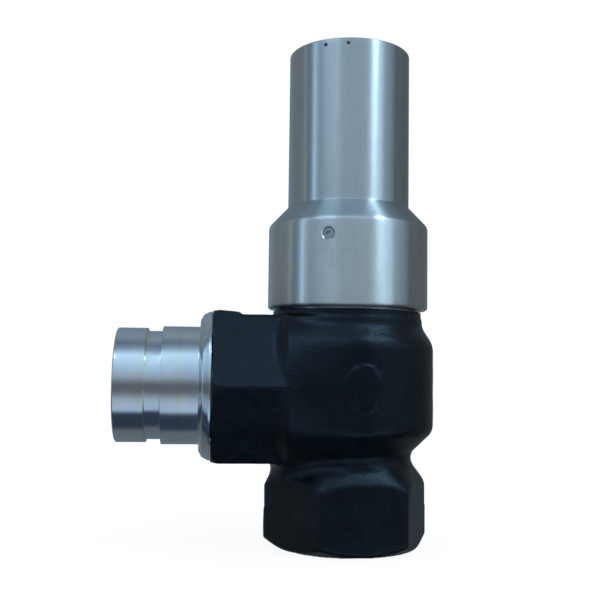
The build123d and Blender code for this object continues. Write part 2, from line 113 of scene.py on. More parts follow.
class Value:
    """A node's output that Python's arithmetic turns into Math nodes."""

    def __init__(self, bench, socket):
        self.bench = bench
        self.socket = socket

    def math(self, operation, *others):
        """Math node that takes this value first."""
        return self.bench.node("ShaderNodeMath", {"operation": operation}, dict(enumerate((self, *others))))

    def __add__(self, other):
        return self.math("ADD", other)

    def __radd__(self, other):
        return self.math("ADD", other)

    def __sub__(self, other):
        return self.math("SUBTRACT", other)

    def __rsub__(self, other):
        return self.bench.node("ShaderNodeMath", {"operation": "SUBTRACT"}, {0: other, 1: self})

    def __mul__(self, other):
        return self.math("MULTIPLY", other)

    def __rmul__(self, other):
        return self.math("MULTIPLY", other)

    def __truediv__(self, other):
        return self.math("DIVIDE", other)

    def __pow__(self, other):
        return self.math("POWER", other)

    def __neg__(self):
        return self.math("MULTIPLY", -1.0)

    def step(self, low, high):
        """0 below low, 1 above high, smooth between."""
        return self.bench.node(
            "ShaderNodeMapRange",
            {"interpolation_type": "SMOOTHSTEP"},
            {"Value": self, "From Min": low, "From Max": high},
        )


class Bench:
    """Adds nodes to one tree."""

    def __init__(self, tree):
        self.tree = tree
        tree.nodes.clear()

    def node(self, kind, settings=None, inputs=None, output=0):
        """Adds a node, with its settings first and then its sockets, and returns one of its outputs."""
        made = self.tree.nodes.new(kind)
        for key, setting in (settings or {}).items():
            if key == "stops":
                ramp = made.color_ramp
                while len(ramp.elements) < len(setting):
                    ramp.elements.new(0.5)
                for element, (place, colour) in zip(ramp.elements, setting):
                    element.position = place
                    element.color = (*colour, 1.0)
            else:
                setattr(made, key, setting)
        for key, value in (inputs or {}).items():
            if isinstance(value, Value):
                self.tree.links.new(value.socket, made.inputs[key])
            else:
                made.inputs[key].default_value = value
        return Value(self, made.outputs[output]) if len(made.outputs) else None

    def split(self, vector):
        """The three parts of a vector."""
        first = self.node("ShaderNodeSeparateXYZ", inputs={0: vector})
        outputs = first.socket.node.outputs
        return [Value(self, outputs[i]) for i in range(3)]

    def mix(self, factor, first, second, blend="MIX"):
        """Colour between two colours, or their sum or product. The colour sockets go by number."""
        settings = {"data_type": "RGBA", "blend_type": blend}
        return self.node("ShaderNodeMix", settings, {0: factor, 6: first, 7: second}, output=2)

    def room(self, angle, stops):
        """Colour by a direction's angle in radians, from stops of degrees and colour."""
        placed = [(degrees / 360.0 + 0.5, colour) for degrees, colour in stops]
        turn_share = 1 / (2 * math.pi)
        return self.node("ShaderNodeValToRGB", {"stops": placed}, {"Fac": angle * turn_share + 0.5})

    def ray(self, kind):
        """1 for a ray of this kind, 0 for the others."""
        return self.node("ShaderNodeLightPath", output=f"Is {kind} Ray")

    def noise(self, place, scale, detail=2.0, roughness=0.5):
        """Noise in space, 0 to 1."""
        return self.node(
            "ShaderNodeTexNoise",
            {"noise_dimensions": "3D"},
            {"Vector": place, "Scale": scale, "Detail": detail, "Roughness": roughness},
        )

    def lines(self, along, scale, detail=2.0):
        """Noise along one length, which draws parallel or circular lines."""
        return self.node(
            "ShaderNodeTexNoise",
            {"noise_dimensions": "1D"},
            {"W": along, "Scale": scale, "Detail": detail},
        )

    def bump(self, height, distance, strength=1.0, normal=None):
        """Relief from a height, laid over another relief if there is one."""
        inputs = {"Height": height, "Distance": distance, "Strength": strength}
        if normal is not None:
            inputs["Normal"] = normal
        return self.node("ShaderNodeBump", inputs=inputs)

    def surface(self, **inputs):
        """Principled shader joined to the material's output."""
        named = {key.replace("_", " "): value for key, value in inputs.items()}
        shader = self.node("ShaderNodeBsdfPrincipled", inputs=named)
        self.node("ShaderNodeOutputMaterial", inputs={"Surface": shader})


def new_material(name, colour):
    """Empty material, its bench and the place on the object, in metres. colour is for the viewport."""
    material = bpy.data.materials.new(name)
    material.use_nodes = True
    material.diffuse_color = (*colour, 1.0)
    bench = Bench(material.node_tree)
    return material, bench, bench.node("ShaderNodeTexCoord", output="Object")


def grey(level):
    """Neutral colour with its alpha."""
    return (level, level, level, 1.0)


def off_axis(a, b):
    """Distance from an axis, from the two coordinates across it."""
    return (a * a + b * b) ** 0.5


BARE_R, BARE_FADE = 31.5, 0.2  # the casting is bare metal within this radius of a bore's axis
BARE_X, BARE_X_FADE = 45.0, 0.5  # and, in the outlet, past this distance from the valve's axis


def make_casting_paint():
    """Satin black paint over sand-cast iron, bare metal in the machined bores."""
    material, bench, place = new_material("casting paint", (0.015, 0.017, 0.021))
    x, y, z = bench.split(place)
    bare_edges = (BARE_R * MM, (BARE_R + BARE_FADE) * MM)
    in_inlet = 1 - off_axis(x, y).step(*bare_edges)
    in_outlet = 1 - off_axis(y, z - OUTLET_Z * MM).step(*bare_edges)
    in_outlet = in_outlet * (1 - x.step(-BARE_X * MM, (BARE_X_FADE - BARE_X) * MM))
    bare = in_inlet.math("MAXIMUM", in_outlet)

    sand = bench.noise(place, 900.0, detail=4.0, roughness=0.7)
    skin = bench.noise(place, 260.0, detail=3.0, roughness=0.55)
    mottle = bench.noise(place, 70.0)
    paint = bench.mix(mottle.step(0.3, 0.75), (0.0022, 0.0026, 0.0034, 1), (0.005, 0.0058, 0.0074, 1))
    dust = bench.mix(sand.step(0.55, 0.75), grey(0.0), (0.011, 0.015, 0.021, 1))
    paint = bench.mix(1.0, paint, dust, "ADD")
    metal = bench.mix(skin.step(0.35, 0.7), grey(0.19), grey(0.30))
    relief = bench.bump(skin, 0.0003, 0.4)
    relief = bench.bump(sand, 0.00024, 0.75, relief)
    bench.surface(
        Base_Color=bench.mix(bare, paint, metal),
        Metallic=bare,
        Roughness=0.14 + 0.06 * mottle + 0.14 * sand,
        Specular_IOR_Level=0.33,
        Specular_Tint=(0.55, 0.75, 1.0, 1.0),
        Normal=relief,
    )
    return material


CONE_FADE = 0.3             # half the height over which the painted shade on the bonnet changes at the cone's ends


def make_turned_aluminium():
    """Aluminium turned on a lathe: fine rings round the valve's axis, with painted shade on the housing above
    the collar and darker painted shade on the cone.
    """
    material, bench, place = new_material("turned aluminium", (0.55, 0.58, 0.62))
    x, y, z = bench.split(place)
    from_axis = off_axis(x, y)
    along = z - from_axis
    fine = bench.lines(along, 4200.0)
    feed = bench.lines(along, 650.0, detail=3.0)
    round_it = bench.node("ShaderNodeCombineXYZ", inputs={0: x / from_axis, 1: y / from_axis, 2: 5.0 * z})
    upright = bench.noise(round_it, 16.0, detail=4.0, roughness=0.6)
    haze = bench.noise(place, 45.0, detail=3.0)
    tone = 0.55 * upright + 0.25 * haze + 0.2 * feed
    colour = bench.mix(tone.step(0.3, 0.7), (0.67, 0.695, 0.70, 1), (0.79, 0.795, 0.79, 1))
    # Painted shade: the housing above the collar is darkened a little towards a bluish grey, and the cone
    # much more, standing in for their darker reflections
    painted_shade_above_collar = z.step((COLLAR_TOP_Z - CONE_FADE) * MM, (COLLAR_TOP_Z + CONE_FADE) * MM)
    painted_shade_on_cone = painted_shade_above_collar * (1 - z.step((CONE_TOP_Z - CONE_FADE) * MM, (CONE_TOP_Z + CONE_FADE) * MM))
    colour = bench.mix(0.3 * painted_shade_above_collar + 0.55 * painted_shade_on_cone, colour, (0.48, 0.54, 0.57, 1))
    relief = bench.bump(feed, 0.000006, 0.12)
    relief = bench.bump(fine, 0.000003, 0.2, relief)
    bench.surface(
        Base_Color=colour,
        Metallic=1.0,
        Roughness=0.27 + 0.05 * haze + 0.10 * upright,
        Anisotropic=0.95,
        Anisotropic_Rotation=0.25,
        Normal=relief,
    )
    return material


def make_zinc_plate():
    """Turned steel under bright zinc, with a bluish tint."""
    material, bench, place = new_material("zinc plate", (0.60, 0.65, 0.72))
    x, y, z = bench.split(place)
    along = x + off_axis(y, z - OUTLET_Z * MM)
    feed = bench.lines(along, 1500.0)
    wide = bench.lines(along, 160.0)
    haze = bench.noise(place, 60.0, detail=3.0)
    tint = bench.mix(haze.step(0.35, 0.7), (0.66, 0.71, 0.78, 1), (0.74, 0.77, 0.80, 1))
    edge_tint = bench.mix(wide.step(0.45, 0.75), tint, (0.72, 0.72, 0.70, 1))
    relief = bench.bump(feed, 0.00001, 0.25)
    bench.surface(
        Base_Color=edge_tint,
        Metallic=1.0,
        Roughness=0.10 + 0.08 * haze + 0.05 * feed,
        Normal=relief,
    )
    return material


def make_metal(name, dark, light, roughness, ring_scale, metallic=1.0):
    """Plain machined metal with fine rings round the valve's axis."""
    material, bench, place = new_material(name, light)
    x, y, z = bench.split(place)
    feed = bench.lines(z - off_axis(x, y), ring_scale)
    haze = bench.noise(place, 120.0, detail=4.0)
    colour = bench.mix((0.6 * haze + 0.4 * feed).step(0.3, 0.7), (*dark, 1), (*light, 1))
    bench.surface(
        Base_Color=colour,
        Metallic=metallic,
        Roughness=roughness + 0.15 * haze,
        Normal=bench.bump(feed, 0.00002, 0.4),
    )
    return material


def make_spring_steel():
    """Dark oiled spring wire, with drawing marks and a few rubbed spots."""
    material, bench, place = new_material("spring steel", (0.22, 0.23, 0.25))
    scale = bench.noise(place, 900.0, detail=3.0)
    rubbed = bench.noise(place, 75.0, detail=4.0).step(0.55, 0.7)
    colour = bench.mix(rubbed, (0.11, 0.115, 0.13, 1), (0.34, 0.34, 0.35, 1))
    bench.surface(
        Base_Color=colour,
        Metallic=0.9,
        Roughness=0.28 + 0.2 * scale,
        Normal=bench.bump(scale, 0.00002, 0.4),
    )
    return material


def make_soft(name, dark, light, roughness, grain_scale, grain_depth):
    """Rubber or plastic with a moulded grain."""
    material, bench, place = new_material(name, light)
    grain = bench.noise(place, grain_scale, detail=3.0)
    bloom = bench.noise(place, 140.0, detail=3.0)
    bench.surface(
        Base_Color=bench.mix(bloom.step(0.3, 0.75), (*dark, 1), (*light, 1)),
        Roughness=roughness + 0.18 * bloom,
        Normal=bench.bump(grain, grain_depth, 0.4),
    )
    return material


finishes = {
    "casting_paint": make_casting_paint(),
    "turned_aluminium": make_turned_aluminium(),
    "zinc_plate": make_zinc_plate(),
    "bronze": make_metal("bearing bronze", (0.42, 0.26, 0.10), (0.62, 0.42, 0.18), 0.25, 1100.0),
    "black_rubber": make_soft(
        "ring rubber",
        (0.008, 0.008, 0.008),
        (0.020, 0.020, 0.021),
        0.45,
        grain_scale=2600.0,
        grain_depth=0.00002,
    ),
    "spring_steel": make_spring_steel(),
    "guide_plastic": make_soft(
        "guide plastic",
        (0.66, 0.64, 0.58),
        (0.78, 0.76, 0.70),
        0.4,
        grain_scale=1800.0,
        grain_depth=0.00001,
    ),
    "dark_screw": make_metal(
        "black oxide", (0.025, 0.026, 0.030), (0.07, 0.07, 0.075), 0.28, 2400.0, metallic=0.8
    ),
    "machined_steel": make_metal("machined steel", (0.42, 0.43, 0.45), (0.60, 0.61, 0.63), 0.2, 1300.0),
    "machined_brass": make_metal("machined brass", (0.56, 0.41, 0.18), (0.75, 0.58, 0.28), 0.2, 1300.0),
}


# Mesh helpers

def add_object(name, data):
    """New object in the scene, at the origin."""
    made = bpy.data.objects.new(name, data)
    bpy.context.scene.collection.objects.link(made)
    return made


def with_modifiers(thing):
    """Plain mesh of an object as its modifiers leave it."""
    bpy.context.view_layer.update()
    seen = thing.evaluated_get(bpy.context.evaluated_depsgraph_get())
    return bpy.data.meshes.new_from_object(seen)


def clean(mesh, merge=1e-7, dissolve=True):
    """Merges points nearer than merge metres, drops faces without area and turns the normals outwards."""
    shape = bmesh.new()
    shape.from_mesh(mesh)
    if merge is not None:
        bmesh.ops.remove_doubles(shape, verts=shape.verts, dist=merge)
    if dissolve:
        bmesh.ops.dissolve_degenerate(shape, edges=shape.edges, dist=merge)
    bmesh.ops.recalc_face_normals(shape, faces=shape.faces)
    if shape.calc_volume(signed=True) < 0:
        bmesh.ops.reverse_faces(shape, faces=shape.faces)
    shape.to_mesh(mesh)
    shape.free()


def finish_piece(name, mesh, slot, body, node):
    """Smooths a mesh, gives it its finish and body, and puts it in place of its CAD node.

    A piece that is blended between two bodies is given no body here.
    """
    piece = add_object(name, mesh)
    shape = bmesh.new()
    shape.from_mesh(mesh)
    for face in shape.faces:
        face.smooth = True
    for edge in shape.edges:
        if len(edge.link_faces) == 2:
            edge.smooth = edge.calc_face_angle(0) < SMOOTH_ANGLE
    shape.to_mesh(mesh)
    shape.free()
    mesh.materials.clear()
    mesh.materials.append(finishes[slot])
    if body is not None:
        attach(piece, body)
    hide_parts(node)
    return piece


def rounded(corners, step=7.0):
    """Closed outline of (radius, height) points. A corner's third number rounds it; step is in degrees."""
    points = []
    count = len(corners)
    for i, corner in enumerate(corners):
        here = Vector(corner[:2])
        reach = corner[2] if len(corner) > 2 else 0.0
        back = Vector(corners[i - 1][:2]) - here
        ahead = Vector(corners[(i + 1) % count][:2]) - here
        turn = math.pi - back.angle(ahead)
        if reach < TINY or turn < STRAIGHT:
            points.append(tuple(here))
            continue
        cut = reach * math.tan(turn / 2)
        first = here + back.normalized() * cut
        last = here + ahead.normalized() * cut
        middle = here + (back.normalized() + ahead.normalized()).normalized() * (reach / math.cos(turn / 2))
        steps = max(2, round(math.degrees(turn) / step))
        start = first - middle
        sweep = start.angle_signed(last - middle)
        for k in range(steps + 1):
            arm = start.copy()
            arm.rotate(Matrix.Rotation(-sweep * k / steps, 2))
            points.append(tuple(middle + arm))
    return points


def lengthened(points, longest):
    """The same outline with extra points, so that no run is longer than this."""
    dense = []
    for i, here in enumerate(points):
        ahead = points[(i + 1) % len(points)]
        runs = max(1, math.ceil(math.dist(here, ahead) / longest))
        for k in range(runs):
            share = k / runs
            dense.append((here[0] + share * (ahead[0] - here[0]), here[1] + share * (ahead[1] - here[1])))
    return dense


def lathe(name, points, segments=192, across=None):
    """Mesh of a closed outline turned about Z. across, if given, lays the finished mesh elsewhere."""
    outline = np.array(points, float)
    count = len(outline)
    turns = np.arange(segments) * 2 * math.pi / segments
    radius, height = outline[:, 0], outline[:, 1]
    places = np.stack(
        [
            np.outer(np.cos(turns), radius),
            np.outer(np.sin(turns), radius),
            np.tile(height, (segments, 1)),
        ],
        axis=-1,
    ).reshape(-1, 3)
    around = np.arange(segments)[:, None] * count
    around_next = ((np.arange(segments) + 1) % segments)[:, None] * count
    here = np.arange(count)[None, :]
    ahead = (here + 1) % count
    quads = np.stack([around + here, around_next + here, around_next + ahead, around + ahead], axis=-1)
    mesh = bpy.data.meshes.new(name)
    mesh.from_pydata((places * MM).tolist(), [], quads.reshape(-1, 4).tolist())
    clean(mesh)
    if across is not None:
        mesh.transform(across)
    mesh.update()
    return mesh


def circle_points(radius, height, section, sides=20):
    """Outline of a round ring's section."""
    angles = [2 * math.pi * k / sides for k in range(sides)]
    return [(radius + section * math.cos(angle), height + section * math.sin(angle)) for angle in angles]


# Lays a mesh made about Z along the outlet's axis, with its top outwards, towards -X
OUTLET_PLACE = Matrix(((0, 0, -1, 0), (1, 0, 0, 0), (0, -1, 0, OUTLET_Z * MM), (0, 0, 0, 1)))


def cut_away(mesh, cutters):
    """Subtracts closed meshes from a mesh."""
    blank = add_object("blank", mesh)
    tools = []
    for cutter in cutters:
        tool = add_object("cutter", cutter)
        tools.append(tool)
        taken = blank.modifiers.new("cut", "BOOLEAN")
        taken.object = tool
        taken.operation = "DIFFERENCE"
        taken.solver = "EXACT"
    result = with_modifiers(blank)
    for thing in (*tools, blank):
        bpy.data.objects.remove(thing)
    return result


def drill(radius, low, high, sides, widened=0.0):
    """Closed cylinder about Z between two heights, or a cone if its top is widened."""
    mesh = bpy.data.meshes.new("drill")
    shape = bmesh.new()
    bmesh.ops.create_cone(
        shape,
        cap_ends=True,
        segments=sides,
        radius1=radius * MM,
        radius2=(radius + widened) * MM,
        depth=(high - low) * MM,
        matrix=Matrix.Translation((0, 0, (low + high) / 2 * MM)),
    )
    shape.to_mesh(mesh)
    shape.free()
    return mesh


def radial(angle, height):
    """Places a tool made about Z so that it points outwards at an angle in degrees about Z."""
    return (
        Matrix.Translation((0, 0, height * MM))
        @ Matrix.Rotation(math.radians(angle), 4, "Z")
        @ Matrix.Rotation(math.pi / 2, 4, "Y")
    )


# Casting

CASTING_GRID = 1.2          # mm between the points that the casting's surface is worked out on
CASTING_LOW = (-BOSS_X - 2.4, -50.4, -2.4)  # corners of the box that those points fill
CASTING_HIGH = (49.2, 49.2, SHOULDER_Z + 6.0)
CASTING_BAND = 6.0          # distances are kept up to this far from the surface
OUTLINE_LOW, OUTLINE_HIGH, OUTLINE_WIDEST = -6.0, 136.0, 90.0  # where an outline's distance is tabled

BASE_Z = 0.08               # lower face of the skin
WAIST_R, WAIST_Z = 32.3, 47.3
CAST_EDGE = 1.5             # soft lower edge of the inlet hexagon
CAST_TOP_EDGE = 2.6         # softer edge between the hexagon and its cone
EDGE_CHANGE_Z = 20.0        # where the one takes over from the other
TAPER_LOW, TAPER_HIGH = 35.3, 42.0  # heights between which the hexagon's flats lean inwards
TAPER = 0.5                 # how far they lean for each millimetre of height
TAPER_EDGE = 0.8
TAPER_END_GAP, TAPER_END = 0.5, 5.0  # past TAPER_HIGH by the gap, the lean is taken back
HEX_END_Z = 47.0            # the flats cut nothing above this
FAR_INSIDE = -50.0

ROOT_BLEND = 10.0           # soft join of the side boss and the bulge
ROOT_CONE_X = 35.0          # where the 45 degree cone at the boss's root is as wide as its corners
ROOT_CONE_EDGE = 1.2
ROOT_CONE_JOIN = 1.6
BOSS_START_X = 30.0         # the boss begins inside the bulge
BOSS_EDGE = 1.0
BOSS_CHAMFER = 3.0
BOSS_DRAFT = 0.075          # slope of the boss's top flat, down towards the collar
DRAFT_GAP, DRAFT_REACH = 4.0, 16.0  # it starts this far from the boss's end and runs this far
FACE_GAP = 0.02             # between the boss's end face and the nipple's flange
SIDE_EDGE = 0.8             # where the blend is trimmed to the bulge's width
RELIEF_EDGE = 2.4
PAD_X, PAD_R = 2.0, 47.28   # bare oval pad on the front: its middle and its outer radius
PAD_HALF_WIDTH, PAD_HALF_HEIGHT = 9.5, 11.75
PAD_JOIN = 0.9
PAD_BACK_Y = -20.0          # the pad lies in front of this
WAVE_DEPTH = 0.05           # waviness of the cast surface, which only sinks it
WAVE_MOST = 2.1             # the most that its sines add up to

PASSAGE_LOW_Z, PASSAGE_HIGH_Z = -4.0, 130.0  # the passage runs out of the casting at both ends
LINER_SEAT_R, LINER_SEAT_Z = 33.0, 24.0  # room for the machined inlet port
NECK_SEAT_R = 34.0          # room for the machined neck
THROAT_START_X = 25.0
OUTLET_PORT_DEPTH = 24.2

casting_outline = rounded(
    (
        (0, BASE_Z),
        (37.5, BASE_Z),
        (HEX_R, 5.0, 1.0),
        (HEX_R, 32.6, 2.0),
        (WAIST_R, WAIST_Z, 6.4),
        (BULGE_R, 61.1, 8.0),
        (BULGE_R, 106.8, 12.0),
        (SHOULDER_R, 116.0, 8.0),
        (SHOULDER_R, SHOULDER_Z, 0.6),
        (0, SHOULDER_Z),
    ),
    step=4.0,
)
passage_outline = rounded(
    (
        (0, PASSAGE_LOW_Z),
        (LINER_SEAT_R, PASSAGE_LOW_Z),
        (LINER_SEAT_R, LINER_SEAT_Z),
        (PORT_R, PORT_END_Z),
        (THROAT_R, PORT_END_Z + PORT_R - THROAT_R),
        (THROAT_R, SEAT_Z),
        (SEAT_R, SEAT_Z),
        (SEAT_R, SEAT_TOP_Z),
        (SEAT_BOSS_R, SEAT_TOP_Z),
        (SEAT_BOSS_R, CHAMBER_Z),
        (CHAMBER_R, CHAMBER_Z, 6.0),
        (CHAMBER_R, CHAMBER_TOP_Z, 6.0),
        (NECK_SEAT_R, CHAMBER_TOP_Z),
        (NECK_SEAT_R, PASSAGE_HIGH_Z),
        (0, PASSAGE_HIGH_Z),
    ),
    step=6.0,
)


def smooth_least(a, b, reach):
    """Union of two distances with a rounded inner corner."""
    share = np.maximum(reach - np.abs(a - b), 0.0) / reach
    return np.minimum(a, b) - share * share * reach / 4


def smooth_most(a, b, reach):
    """Intersection of two distances with a rounded edge."""
    return -smooth_least(-a, -b, reach)


class TurnedDistance:
    """Signed distance to a solid of revolution, looked up from its outline's distance in (radius, height)."""

    spacing = 0.25          # mm between the entries of its table
    rim = 0.001             # a look-up past the table's end is taken this far inside it, in entries

    def __init__(self, outline):
        points = np.array(outline)
        ahead = np.roll(points, -1, axis=0)
        radius = np.arange(0, OUTLINE_WIDEST, self.spacing)
        height = np.arange(OUTLINE_LOW, OUTLINE_HIGH, self.spacing)
        r, z = np.meshgrid(radius, height, indexing="ij")
        nearest = np.full(r.shape, np.inf)
        inside = np.zeros(r.shape, bool)
        for (r0, z0), (r1, z1) in zip(points, ahead):
            run_r, run_z = r1 - r0, z1 - z0
            length = run_r * run_r + run_z * run_z
            if length < TINY**2:
                continue
            share = np.clip(((r - r0) * run_r + (z - z0) * run_z) / length, 0, 1)
            away = (r - r0 - share * run_r) ** 2 + (z - z0 - share * run_z) ** 2
            if max(r0, r1) > TINY:
                nearest = np.minimum(nearest, away)
            if abs(run_z) > TINY**2:
                inside ^= ((z0 > z) != (z1 > z)) & (r < r0 + (z - z0) * run_r / run_z)
        self.table = np.sqrt(nearest) * np.where(inside, -1.0, 1.0)

    def __call__(self, radius, height):
        columns, rows = self.table.shape
        column = np.clip(radius / self.spacing, 0, columns - 1 - self.rim)
        row = np.clip((height - OUTLINE_LOW) / self.spacing, 0, rows - 1 - self.rim)
        i, j = column.astype(int), row.astype(int)
        u, v = column - i, row - j
        table = self.table
        return (
            table[i, j] * (1 - u) * (1 - v)
            + table[i + 1, j] * u * (1 - v)
            + table[i, j + 1] * (1 - u) * v
            + table[i + 1, j + 1] * u * v
        )


turned_outside = TurnedDistance(casting_outline)
turned_passage = TurnedDistance(passage_outline)


def across_flats(a, b):
    """Signed distance to a hexagon's flats. Two of them face along a, which like b is at least 0."""
    return np.maximum(a, a * 0.5 + b * math.sqrt(0.75)) - HEX_FLAT


def inlet_flats(x, y, z):
    """Signed distance to the inlet hexagon's flats, which lean inwards at their top."""
    along = np.abs(x * math.cos(HEX_TURN) + y * math.sin(HEX_TURN))
    aside = np.abs(y * math.cos(HEX_TURN) - x * math.sin(HEX_TURN))
    upright = across_flats(aside, along)
    leaning = upright + TAPER * np.clip(z - TAPER_LOW, 0.0, TAPER_HIGH - TAPER_LOW)
    leaning = leaning / math.hypot(1.0, TAPER) - np.clip(z - TAPER_HIGH - TAPER_END_GAP, 0.0, TAPER_END)
    return np.where(z < HEX_END_Z, smooth_most(upright, leaning, TAPER_EDGE), FAR_INSIDE)


def side_boss(out, y, up):
    """Signed distance to the side boss with the cone at its root. up is the height over the outlet's axis."""
    from_axis = np.hypot(y, up)
    root_cone = (from_axis + out - ROOT_CONE_X - HEX_R) * math.sqrt(0.5)
    root = smooth_most(np.maximum(from_axis - HEX_R, -out), root_cone, ROOT_CONE_EDGE)
    draft = BOSS_DRAFT * np.clip(BOSS_X - DRAFT_GAP - out, 0.0, DRAFT_REACH)
    drafted = np.where(up > 0, up + draft, -up)
    flats = np.maximum(drafted, np.abs(up) * 0.5 + np.abs(y) * math.sqrt(0.75)) - HEX_FLAT
    end_cone = (from_axis + out - (BOSS_X - BOSS_CHAMFER) - HEX_R) * math.sqrt(0.5)
    boss = smooth_most(smooth_most(flats, end_cone, BOSS_EDGE), BOSS_START_X - out, BOSS_EDGE)
    boss = np.maximum(boss, out - BOSS_X + FACE_GAP)
    return smooth_least(boss, root, ROOT_CONE_JOIN)


def cast_wave(x, y, z):
    """Slow waviness of the cast surface."""
    wave = np.sin(0.21 * x + 0.13 * z + 1.0) * np.sin(0.17 * y - 0.19 * z)
    wave = wave + 0.6 * np.sin(0.33 * z + 0.29 * y + 2.0)
    return wave + 0.5 * np.sin(0.46 * x - 0.37 * y + 0.41 * z)


def casting_outside(points):
    """Signed distance to the casting without its passages."""
    x, y, z = np.moveaxis(points, -1, 0)
    radius = np.hypot(x, y)
    up = z - OUTLET_Z
    flats_edge = np.where(z > EDGE_CHANGE_Z, CAST_TOP_EDGE, CAST_EDGE)
    body = smooth_most(turned_outside(radius, z), inlet_flats(x, y, z), flats_edge)
    body = smooth_least(body, side_boss(-x, y, up), ROOT_BLEND)
    body = smooth_most(body, np.abs(y) - BULGE_R, SIDE_EDGE)

    above = np.maximum(SHOULDER_Z - z, radius - RELIEF_R)
    beside = np.maximum(np.maximum(RELIEF_Z - z, radius - RELIEF_R), SHOULDER_R - radius)
    body = smooth_most(body, -np.minimum(above, beside), RELIEF_EDGE)

    oval = (np.hypot((x - PAD_X) / PAD_HALF_WIDTH, up / PAD_HALF_HEIGHT) - 1.0) * PAD_HALF_WIDTH
    pad = np.maximum(np.maximum(oval, radius - PAD_R), y - PAD_BACK_Y)
    body = smooth_least(body, pad, PAD_JOIN)
    return body + WAVE_DEPTH * (cast_wave(x, y, z) + WAVE_MOST)


def casting_passages(points):
    """Signed distance to the casting's inlet, chamber and outlet bores."""
    x, y, z = np.moveaxis(points, -1, 0)
    inner = turned_passage(np.hypot(x, y), z)
    from_axis = np.hypot(y, z - OUTLET_Z)
    throat = np.maximum(from_axis - THROAT_R, THROAT_START_X + x)
    port = np.maximum(from_axis - PORT_R, BOSS_X - OUTLET_PORT_DEPTH + x)
    return np.minimum(inner, np.minimum(throat, port))


def casting_distance(points):
    """Signed distance to the casting."""
    return np.maximum(casting_outside(points), -casting_passages(points))


def slope(field, points, reach=0.05):
    """Value and gradient of a distance at many points."""
    gradient = np.empty_like(points)
    for axis in range(3):
        shift = np.zeros(3)
        shift[axis] = reach
        gradient[:, axis] = (field(points + shift) - field(points - shift)) / (2 * reach)
    return field(points), gradient


def settle(field, points, rounds=3):
    """Moves points onto a surface, half a step of the grid at most in each round."""
    most = 0.5 * CASTING_GRID
    for _ in range(rounds):
        value, gradient = slope(field, points)
        steepness = np.maximum((gradient**2).sum(axis=1), 0.25)
        step = np.clip(value / steepness, -most, most)
        points = points - gradient * step[:, None]
    return points


def make_casting():
    """Mesh of the casting: the surface of its distance, with the points near a bore's rim set on the rim."""
    axes = [np.arange(low, high, CASTING_GRID) for low, high in zip(CASTING_LOW, CASTING_HIGH)]
    values = casting_distance(np.stack(np.meshgrid(*axes, indexing="ij"), axis=-1))
    grid = openvdb.FloatGrid(CASTING_BAND)
    banded = np.clip(values, -CASTING_BAND, CASTING_BAND)
    grid.copyFromArray(np.ascontiguousarray(banded, dtype=np.float32))
    points, triangles, quads = grid.convertToPolygons(isovalue=0.0, adaptivity=0.0)
    points = np.array(CASTING_LOW) + np.asarray(points, float) * CASTING_GRID
    points = settle(casting_distance, points)

    rim_reach = 0.5 * CASTING_GRID
    near = (np.abs(casting_outside(points)) < rim_reach) & (np.abs(casting_passages(points)) < rim_reach)
    rim = points[near]
    for _ in range(4):
        rim = settle(casting_outside, rim, 1)
        rim = settle(casting_passages, rim, 1)
    points[near] = rim
    mesh = bpy.data.meshes.new("casting")
    faces = [tuple(int(i) for i in face) for face in (*triangles, *quads)]
    mesh.from_pydata((points * MM).tolist(), [], faces)
    clean(mesh, merge=1e-6)
    return mesh


# Threads

RIDGE_SHARE = 0.46          # half the width of a thread's ridge, as a share of its pitch
RIDGE_STEPS = 72            # points in one turn of it


def make_threads():
    """Node tree that winds a ridge along a helix about Z."""
    tree = bpy.data.node_groups.new("thread ridge", "GeometryNodeTree")
    tree.interface.new_socket(name="Geometry", in_out="OUTPUT", socket_type="NodeSocketGeometry")
    for name in ("Radius", "Length", "Turns", "Ridge Depth", "Ridge Width", "Start Height"):
        tree.interface.new_socket(name=name, in_out="INPUT", socket_type="NodeSocketFloat")
    tree.interface.new_socket(name="Steps", in_out="INPUT", socket_type="NodeSocketInt")
    tree.interface.new_socket(name="Finish", in_out="INPUT", socket_type="NodeSocketMaterial")
    bench = Bench(tree)
    given = bench.node("NodeGroupInput").socket.node
    sockets = {socket.name: Value(bench, socket) for socket in given.outputs if socket.name}
    spiral = bench.node(
        "GeometryNodeCurveSpiral",
        inputs={
            "Resolution": sockets["Steps"],
            "Rotations": sockets["Turns"],
            "Start Radius": sockets["Radius"],
            "End Radius": sockets["Radius"],
            "Height": sockets["Length"],
        },
    )
    lift = bench.node("ShaderNodeCombineXYZ", inputs={"Z": sockets["Start Height"]})
    spiral = bench.node("GeometryNodeTransform", inputs={"Geometry": spiral, "Translation": lift})
    upright = bench.node("GeometryNodeSetCurveNormal", {"mode": "Z_UP"}, {"Curve": spiral})
    section = bench.node("GeometryNodeCurvePrimitiveCircle", inputs={"Resolution": 4, "Radius": 1.0})
    depth_and_width = {"X": sockets["Ridge Depth"], "Y": sockets["Ridge Width"]}
    size = bench.node("ShaderNodeCombineXYZ", inputs=depth_and_width)
    section = bench.node("GeometryNodeTransform", inputs={"Geometry": section, "Scale": size})
    ridge = bench.node(
        "GeometryNodeCurveToMesh",
        inputs={"Curve": upright, "Profile Curve": section, "Fill Caps": True},
    )
    real = bench.node("GeometryNodeRealizeInstances", inputs={"Geometry": ridge})
    made = bench.node("GeometryNodeSetMaterial", inputs={"Geometry": real, "Material": sockets["Finish"]})
    bench.node("NodeGroupOutput", inputs={"Geometry": made})
    return tree


thread_tree = make_threads()


